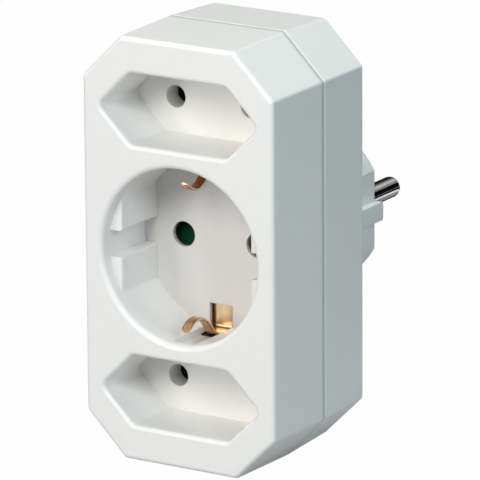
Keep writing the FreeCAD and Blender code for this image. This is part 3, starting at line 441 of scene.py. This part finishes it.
streak = add(worked, "ShaderNodeMapRange", From_Min=0.3, From_Max=0.7,
             To_Min=STREAK_DARK, To_Max=STREAK_LIGHT, Value=lines)
spots = add(worked, "ShaderNodeMapRange", From_Min=0.45, From_Max=0.75, Value=patches)
aged = maths(worked, "MULTIPLY", spots.outputs[0], given["Age"])
streaky = mixed_colour(
    worked, given["Streaks"], given["Colour"], streak.outputs[0], "MULTIPLY")
give(worked, gives["Colour"], mixed_colour(worked, aged, streaky, given["Tarnish"]))
give(worked, gives["Roughness"], maths(
    worked, "MULTIPLY_ADD", aged, TARNISH_ROUGHNESS, given["Roughness"]))
print("group", worked.name, "with", len(worked.nodes), "nodes")

# %% [markdown]
# The front part of the housing isn't one even white, so it gets a third group
# of its own. Inside the sockets the plastic is a touch creamier. The round
# one's floor is painted greyer: painted shade for the dimmer light inside the
# cup. The pin holes of the flat sockets are white right through to the
# shutters. Those of the round one, the windows and the end of each clip's
# channel see almost no light, so they are painted near black soon behind their
# rim: painted shade. At the seam the edge of the front part turns inward, away
# from the light, and a dark line of painted shade stands for its shading. The
# tones could be painted on faces, but a face of the CAD model often reaches
# over several of these places. So the group works them out from the position
# alone, in millimetres, and they fit from any side.

# %% Masks from the position
MILLIMETRES = 1000


def all_of(tree, *masks):
    """One where every mask is one."""
    together = masks[0]
    for mask in masks[1:]:
        together = maths(tree, "MULTIPLY", together, mask)
    return together


def rise(tree, value, start, end):
    """A mask that rises softly from zero to one."""
    return add(tree, "ShaderNodeMapRange", interpolation_type="SMOOTHSTEP",
               From_Min=start, From_Max=end, Value=value).outputs[0]


places, given, gives = new_group(
    "front_places", [("Place", VECTOR, (0, 0, 0))],
    [("Socket", FLOAT), ("Floor", FLOAT), ("DeepShade", FLOAT), ("Seam", FLOAT)])
in_mm = add(places, "ShaderNodeVectorMath", operation="SCALE", Scale=MILLIMETRES)
give(places, in_mm.inputs[0], given["Place"])
axes = add(places, "ShaderNodeSeparateXYZ", Vector=in_mm.outputs[0]).outputs
print("group", places.name, "gives", [socket.name for socket in gives if socket.name])

# %% Node group: places on the front part
FRONT_Y = -56.6
SOCKETS_HALF_HEIGHT, SOCKETS_HALF_WIDTH = 41.0, 20.6
ROUND_REACH = 21.4
ROUND_FLOOR, FLAT_FLOOR, FLOOR_SLACK = 17.4, 14.8, 0.03
FLAT_HOLE_WALL = 4.8
CHANNEL_FLOOR, CHANNEL_HALF = 20.9, 2.98
# where each tone starts and is full: behind the front, behind a floor or wall
SOCKET_TONE, CHANNEL_SHADE, SEAM_SHADE = (0.6, 2.0), (13.7, 14.0), (19.3, 19.9)
HOLE_SHADE = (0.6, 1.3)

sideways = maths(places, "ABSOLUTE", axes["X"])
height = maths(places, "ABSOLUTE", axes["Z"])
depth = maths(places, "SUBTRACT", axes["Y"], FRONT_Y)
inside = all_of(places, maths(places, "LESS_THAN", sideways, SOCKETS_HALF_WIDTH),
                maths(places, "LESS_THAN", height, SOCKETS_HALF_HEIGHT))
flat_one = maths(places, "GREATER_THAN", height, ROUND_REACH)
round_one = maths(places, "SUBTRACT", 1, flat_one)
level = maths(places, "MULTIPLY_ADD", flat_one, FLAT_FLOOR - ROUND_FLOOR, ROUND_FLOOR)
below = maths(places, "SUBTRACT", depth, level)
past_wall = maths(places, "SUBTRACT", below,
                  maths(places, "MULTIPLY", flat_one, FLAT_HOLE_WALL))
on_floor = maths(places, "GREATER_THAN", below, -FLOOR_SLACK)
# painted shade: the end of each clip's channel turns near black
channel_shade = all_of(places, maths(places, "GREATER_THAN", height, CHANNEL_FLOOR),
                    maths(places, "LESS_THAN", sideways, CHANNEL_HALF), round_one,
                    rise(places, depth, *CHANNEL_SHADE))
# painted shade: holes and windows turn near black behind their rim or wall
hole_shade = all_of(places, rise(places, past_wall, *HOLE_SHADE), inside)
give(places, gives["Socket"], all_of(places, rise(places, depth, *SOCKET_TONE), inside))
# painted shade: the round floor is made greyer than the white
give(places, gives["Floor"], all_of(places, on_floor, inside, round_one))
give(places, gives["DeepShade"], maths(places, "MAXIMUM", hole_shade, channel_shade))
# painted shade: a dark line where the front part's edge turns inward at the seam
give(places, gives["Seam"], rise(places, depth, *SEAM_SHADE))
print("group", places.name, "with", len(places.nodes), "nodes")

# %% [markdown]
# Now the materials themselves. The housing is white moulded plastic with a
# satin gloss. The shutters are the same stuff, matt and dark green, and the
# covers behind them are plain grey.

# %% Plastics
def finish_of(name, group, group_values, shader_values, place="Object"):
    """A material whose shader takes colour, roughness and normal from a group."""
    material = empty_material(name)
    tree = material.node_tree
    effect = add(tree, "ShaderNodeGroup", node_tree=group)
    for label, value in group_values.items():
        effect.inputs[label].default_value = value
    if "Place" in effect.inputs:
        where = add(tree, "ShaderNodeTexCoord").outputs[place]
        give(tree, effect.inputs["Place"], where)
    shader = add(tree, "ShaderNodeBsdfPrincipled", Base_Color=effect.outputs["Colour"],
                 Roughness=effect.outputs["Roughness"], Normal=effect.outputs["Normal"])
    for label, value in shader_values.items():
        shader.inputs[label].default_value = value
    add(tree, "ShaderNodeOutputMaterial", Surface=shader.outputs[0])
    print("material", name)
    return material


WHITE = (0.86, 0.855, 0.835, 1)
white_values = {"Colour": WHITE, "Roughness": 0.36, "Grain": 0.1, "Waves": 0.03,
                "Mottle": 0.05}
white_housing = finish_of("white_housing", moulded, white_values, {"IOR": 1.49})
white_front = finish_of("white_front", moulded, white_values, {"IOR": 1.49})
green_shutter = finish_of(
    "green_shutter", moulded,
    {"Colour": (0.0005, 0.05, 0.026, 1), "Roughness": 0.5, "Grain": 0.3, "Waves": 0.1,
     "Mottle": 0.4},
    {"IOR": 1.49, "Specular IOR Level": 0.08})
grey_inner = finish_of(
    "grey_inner", moulded,
    {"Colour": (0.5, 0.51, 0.5, 1), "Roughness": 0.45, "Grain": 0.4, "Waves": 0.1,
     "Mottle": 0.3},
    {"IOR": 1.49})

# %% [markdown]
# The clips are bright rolled brass, the earth strap at the plug and the contacts
# are plainer brass, the pins polished nickel over brass, and the springs and
# screws steel. The pins are the smoothest of all, since they have to mirror the
# cards. The clips' lines follow their own flat map, because the strip is bent.

# %% Metals
bright_brass = finish_of(
    "bright_brass", worked,
    {"Tarnish": (0.5, 0.2, 0.08, 1), "Roughness": 0.27, "Lines": 0.5,
     "Stretch": (1, 0.02, 1), "Streaks": 0.6, "Age": 0.25},
    {"Metallic": 1.0}, place="UV")
earth_brass = finish_of(
    "earth_brass", worked,
    {"Colour": (0.83, 0.52, 0.25, 1), "Tarnish": (0.5, 0.24, 0.1, 1),
     "Roughness": 0.26, "Lines": 0.3, "Stretch": (1, 1, 0.04), "Age": 0.5},
    {"Metallic": 1.0})
contact_brass = finish_of(
    "contact_brass", worked,
    {"Colour": (0.8, 0.58, 0.32, 1), "Tarnish": (0.35, 0.22, 0.12, 1),
     "Roughness": 0.28, "Lines": 0.3, "Stretch": (1, 1, 0.06), "Age": 0.6},
    {"Metallic": 1.0})
nickel = finish_of(
    "polished_nickel", worked,
    {"Colour": (0.74, 0.73, 0.71, 1), "Tarnish": (0.5, 0.48, 0.45, 1),
     "Roughness": 0.1, "Lines": 0.08, "Stretch": (1, 0.05, 1), "Age": 0.2},
    {"Metallic": 1.0})
drawn_steel = finish_of(
    "drawn_steel", worked,
    {"Colour": (0.6, 0.6, 0.61, 1), "Tarnish": (0.3, 0.29, 0.28, 1),
     "Roughness": 0.25, "Lines": 0.2, "Stretch": (1, 1, 0.1), "Age": 0.4},
    {"Metallic": 1.0})

# %% [markdown]
# The front part's colour is mixed in four steps, from the widest place to the
# narrowest: the sockets, the round floor, the holes, and the seam.

# %% The front part's tones
# the last three tones are painted shade: a greyer round floor, near black holes, windows
# and channel end, and a dark line at the seam
TONES = {"Socket": (0.865, 0.855, 0.83, 1), "Floor": (0.7, 0.687, 0.672, 1),
         "DeepShade": (0.006, 0.009, 0.006, 1), "Seam": (0.6, 0.62, 0.62, 1)}

tree = white_front.node_tree
where = add(tree, "ShaderNodeTexCoord").outputs["Object"]
masks = add(tree, "ShaderNodeGroup", node_tree=places)
give(tree, masks.inputs["Place"], where)
plastic = next(n for n in tree.nodes if n.type == "GROUP" and n.node_tree == moulded)
colour = WHITE
for place, tone in TONES.items():
    colour = mixed_colour(tree, masks.outputs[place], colour, tone)
give(tree, plastic.inputs["Colour"], colour)
print("front finish has", len(tree.nodes), "nodes")

# %% [markdown]
# The CAD pieces keep their shapes, so each one only needs its finish. Their
# surfaces come cut into flat facets. Smooth shading hides the facets of a
# curve, and every edge where the surface really turns stays sharp.

# %% Dress the CAD pieces
EDGE_ANGLE = math.radians(24)
BY_SLOT = {
    "housing": white_housing, "plug_pins": nickel, "contacts": contact_brass,
    "earth_metal": earth_brass, "inner_plastic": grey_inner,
    "shutter_green": green_shutter, "spring_steel": drawn_steel,
    "screw_steel": drawn_steel}
slot_of = {s["node"]: s["material_slot"] for s in frame["record"]["subparts"]}

for name, piece in nodes.items():
    finish = white_front if name == "front_shell" else BY_SLOT[slot_of[name]]
    piece.data.materials.clear()
    piece.data.materials.append(finish)
    piece.data.polygons.foreach_set("use_smooth", [True] * len(piece.data.polygons))
    piece.data.set_sharp_from_angle(angle=EDGE_ANGLE)
print("dressed", len(nodes), "CAD pieces")

# %% [markdown]
# ## The earth clips
#
# Both clips and the plate between them are one strip of sheet brass. From the
# upper clip's tip it runs over the hump that presses on a plug, drops into the
# channel, widens, and turns down flat behind the socket's floor. The lower
# clip is the same again. A curve with a bevel would do for wire, but sheet that
# grows wider on its way needs its sections laid one by one. We name a few
# stations along the strip's middle, each with its half width, and let a smooth
# curve run through them.

# %% Stations of the strip
CHANNEL = 19.8
UPPER_HUMP, LOWER_HUMP = 13.85, 15.0
UPPER_TIP, LOWER_TIP = 2.9, 3.5
TIP_SHARE, TIP_HALF = 0.34, 1.15
# depth behind the front, share of the way from hump to channel, half width
CLIP = [(5.1, 0.12, 1.15), (7.25, 0.06, 1.15), (9.5, 0.22, 1.15), (11.4, 0.55, 1.18),
        (12.9, 0.95, 1.3)]
# depth, distance from the socket's middle, half width
PLATE = [(14.3, 20.4, 1.6), (15.4, 20.55, 2.3), (18.1, 20.55, 2.8), (18.55, 20.45, 2.85),
         (18.83, 20.15, 2.9), (18.95, 19.7, 3.0), (18.95, 18.6, 3.1), (18.95, 12.5, 3.1),
         (18.95, 6.0, 3.1)]
STEPS = 10


def clip_stations(hump, tip, side):
    """From tip to plate: Y, Z and half width in millimetres."""
    bent = [(tip, TIP_SHARE, TIP_HALF)] + CLIP
    clip = [(depth, hump + (CHANNEL - hump) * share, half) for depth, share, half in bent]
    return [Vector((FRONT_Y + depth, out * side, half))
            for depth, out, half in clip + PLATE]


def smooth_run(points):
    """Points on a smooth curve through the given ones."""
    run = []
    for i in range(len(points) - 1):
        before, here = points[max(i - 1, 0)], points[i]
        there, after = points[i + 1], points[min(i + 2, len(points) - 1)]
        for k in range(STEPS):
            t = k / STEPS
            run.append(here + 0.5 * t * (
                there - before + t * (2 * before - 5 * here + 4 * there - after
                                      + t * (3 * (here - there) + after - before))))
    return run + [points[-1]]


strip_line = smooth_run(clip_stations(UPPER_HUMP, UPPER_TIP, 1)
                        + clip_stations(LOWER_HUMP, LOWER_TIP, -1)[::-1])
print("strip line with", len(strip_line), "points")

# %% [markdown]
# The strip's section is a thin rectangle with rounded edges and a face that
# bulges very slightly, as pressed sheet does. It catches the light in one soft
# line, where a dead flat face would flash all at once. Past its last station
# each clip grows narrower along a half circle.

# %% Section and tips of the strip
SHEET = 0.56
EDGE_ROUND, EDGE_SHARE = 0.2, 0.9
BULGE = 0.03
CORNER_TURNS = [math.radians(d) for d in (0, 30, 60, 90)]
FACE_SHARES = (0.6, 0.2, -0.2, -0.6)
TIP_ROUND = 1.1
TIP_TURNS = [math.radians(d) for d in (15, 30, 45, 58, 70, 80, 87)]


def strip_section(half):
    """The strip's outline across its run: pairs of sideways and thickness."""
    edge = min(EDGE_ROUND, half * EDGE_SHARE)
    flat = half - edge
    corner = [(flat + edge * math.cos(a),
               SHEET / 2 - EDGE_ROUND + EDGE_ROUND * math.sin(a)) for a in CORNER_TURNS]
    face = [(flat * share, SHEET / 2 + BULGE * (1 - share * share))
            for share in FACE_SHARES]
    upper = corner + face + [(-x, h) for x, h in corner[::-1]]
    return upper + [(-x, -h) for x, h in upper]


def round_tip(end, inner):
    """Stations past an end, away from its inner neighbour."""
    on = (end - inner).xy.normalized()
    return [Vector((*(end.xy + on * TIP_ROUND * math.sin(a)), end.z * math.cos(a)))
            for a in TIP_TURNS]


print("strip", SHEET, "mm thick, section with", len(strip_section(TIP_HALF)), "points")

# %% [markdown]
# One section stands at each station, square to the strip's run, and faces join
# each section to the next. The strip also gets a flat map of its own: one
# direction runs across it and says how near an edge a point is, the other runs
# along it from tip to tip.

# %% The strip as a mesh
MAP_HALF = 1.2 * MM


def bent_strip(name, line):
    """The strip as a closed mesh with its own flat map: across and along."""
    line = round_tip(line[0], line[1])[::-1] + line + round_tip(line[-1], line[-2])
    mesh = bmesh.new()
    flat_map = mesh.loops.layers.uv.new("strip")
    rings, spots, along = [], {}, 0.0
    for i, station in enumerate(line):
        run = (line[min(i + 1, len(line) - 1)] - line[max(i - 1, 0)]).xy.normalized()
        across = Vector((-run.y, run.x))
        along += (station - line[i - 1]).xy.length if i else 0.0
        ring = []
        for x, h in strip_section(station.z):
            ring.append(mesh.verts.new(Vector((x, *(station.xy + across * h))) * MM))
            spots[ring[-1]] = (x / station.z * MAP_HALF, along * MM)
        rings.append(ring)
    count = len(rings[0])
    for one, two in zip(rings, rings[1:]):
        for k in range(count):
            mesh.faces.new((one[k], one[(k + 1) % count], two[(k + 1) % count], two[k]))
    mesh.faces.new(rings[0][::-1])
    mesh.faces.new(rings[-1])
    for face in mesh.faces:
        face.smooth = True
        for loop in face.loops:
            loop[flat_map].uv = spots[loop.vert]
    bmesh.ops.recalc_face_normals(mesh, faces=mesh.faces)
    data = bpy.data.meshes.new(name)
    mesh.to_mesh(data)
    mesh.free()
    data.materials.append(bright_brass)
    return put_in_scene(name, data)


earth_clips = bent_strip("earth_clips", strip_line)
strip_length = max(loop.uv.y for loop in earth_clips.data.uv_layers[0].data)
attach(earth_clips, "housing")
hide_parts("socket_earth_strap")
print("earth_clips with", len(earth_clips.data.polygons), "faces,",
      round(strip_length / MM, 1), "mm along")

# %% [markdown]
# The strip's colour isn't the same all along, and its ramp holds painted light
# as well as colour. The upper clip is a dark copper red, partly tarnish and
# partly painted shade for the dark recess around it, with a painted highlight
# at its tip. The plate behind the windows is painted pale, as painted light for
# its bright reflection, and the lower clip lies in between. A colour ramp along
# the strip gives these.

# %% Colour along the strip
# share of the way from the upper tip to the lower one, and the colour there
# first stop: painted highlight at the upper tip; dark stops: tarnish with painted shade;
# pale stops: painted light on the plate
TONE_AND_PAINTED_LIGHT_ALONG = [(0.0, (0.85, 0.5, 0.27)), (0.03, (0.62, 0.24, 0.1)),
            (0.07, (0.56, 0.16, 0.065)), (0.25, (0.5, 0.14, 0.055)),
            (0.31, (0.9, 0.66, 0.4)), (0.72, (0.93, 0.7, 0.44)),
            (0.78, (0.84, 0.53, 0.28)), (1.0, (0.8, 0.47, 0.23))]

tree = bright_brass.node_tree
flat = add(tree, "ShaderNodeSeparateXYZ",
           Vector=add(tree, "ShaderNodeTexCoord").outputs["UV"]).outputs
ramp = add(tree, "ShaderNodeValToRGB")
stops = ramp.color_ramp.elements
while len(stops) < len(TONE_AND_PAINTED_LIGHT_ALONG):
    stops.new(0.5)
for stop, (position, colour) in zip(stops, TONE_AND_PAINTED_LIGHT_ALONG):
    stop.position = position
    stop.color = (*colour, 1)
give(tree, ramp.inputs[0], maths(tree, "DIVIDE", flat["Y"], strip_length))
print("colours along the strip:", len(stops))

# %% [markdown]
# Across the strip, both cut edges carry a painted highlight, and a thin dark
# line runs beside each. Both are masks of the distance from the middle, which
# the flat map gives.

# %% Colour across the strip
LINE_STARTS, LINE_ENDS, LINE_STRENGTH = (0.66, 0.76), (0.9, 0.97), 0.75
LINE_COLOUR = (0.12, 0.05, 0.025, 1)
EDGE_HIGHLIGHT_STARTS = (0.96, 0.995)
EDGE_HIGHLIGHT_COLOUR = (0.95, 0.75, 0.5, 1)

from_middle = maths(tree, "DIVIDE", maths(tree, "ABSOLUTE", flat["X"]), MAP_HALF)
dark_line = maths(tree, "MULTIPLY", rise(tree, from_middle, *LINE_STARTS),
                  maths(tree, "SUBTRACT", 1, rise(tree, from_middle, *LINE_ENDS)))
lined = mixed_colour(tree, maths(tree, "MULTIPLY", dark_line, LINE_STRENGTH),
                     ramp.outputs["Color"], LINE_COLOUR)
# painted highlight along both cut edges of the strip
edge_highlighted = mixed_colour(tree, rise(tree, from_middle, *EDGE_HIGHLIGHT_STARTS), lined, EDGE_HIGHLIGHT_COLOUR)
metal = next(n for n in tree.nodes if n.type == "GROUP" and n.node_tree == worked)
give(tree, metal.inputs["Colour"], edge_highlighted)
print("strip finish with", len(tree.nodes), "nodes")

# %% [markdown]
# ## The shutters' springs
#
# Behind each pair of holes a small coil spring pushes its shutter shut. It is
# wound from round wire, with a turn laid close at either end so that it stands
# square on its seat. A screw modifier has one pitch from end to end. So we lay a
# curve's points round the axis ourselves, its round bevel gives the wire, and it
# becomes a mesh.

# %% A wound spring
OPEN_TURNS = 5
STEPS_PER_TURN = 20
WIRE = 0.2 * MM
CLOSE_PITCH = 2.1 * WIRE


def wound_spring(name, node):
    """A coil with close end turns in the space of its CAD node."""
    low, high = (Vector(corner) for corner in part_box(node))
    middle = (low + high) / 2
    radius = (high.x - low.x) / 2 - WIRE
    open_pitch = (high.z - low.z - 2 * WIRE - 2 * CLOSE_PITCH) / OPEN_TURNS
    wire = bpy.data.curves.new(name + "_wire", "CURVE")
    wire.dimensions = "3D"
    wire.bevel_depth = WIRE
    wire.bevel_resolution = 3
    wire.use_fill_caps = True
    line = wire.splines.new("POLY")
    line.points.add((OPEN_TURNS + 2) * STEPS_PER_TURN)
    for i, point in enumerate(line.points):
        turn = i / STEPS_PER_TURN
        angle = 2 * math.pi * turn
        climb = (min(turn, 1) * CLOSE_PITCH
                 + min(max(turn - 1, 0), OPEN_TURNS) * open_pitch
                 + max(turn - 1 - OPEN_TURNS, 0) * CLOSE_PITCH)
        point.co = (middle.x + radius * math.cos(angle),
                    middle.y + radius * math.sin(angle), low.z + WIRE + climb, 1)
    drawing = bpy.data.objects.new(name + "_wire", wire)
    data = bpy.data.meshes.new_from_object(drawing)
    bpy.data.objects.remove(drawing)
    data.name = name
    data.materials.clear()
    data.materials.append(drawn_steel)
    for face in data.polygons:
        face.use_smooth = True
    print(name, "with", len(data.polygons), "faces")
    return put_in_scene(name, data)


print("springs with", OPEN_TURNS + 2, "turns of", round(2 * WIRE / MM, 2), "mm wire")

# %% [markdown]
# When a plug turns the shutter, the spring gets shorter from its seat. Here each
# coil takes its CAD piece's place and is fixed to the housing.

# %% Coil springs in place of the CAD ones
# which end stands on the seat, and the share of its length left when pressed
SPRINGS = {"upper": (1, 0.095), "middle": (1, 0.22), "lower": (0, 0.095)}

for place, (seat_end, share_left) in SPRINGS.items():
    node = "shutter_spring_" + place
    coil = wound_spring("coil_" + place, node)
    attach(coil, "housing")
    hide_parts(node)
    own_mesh(coil)
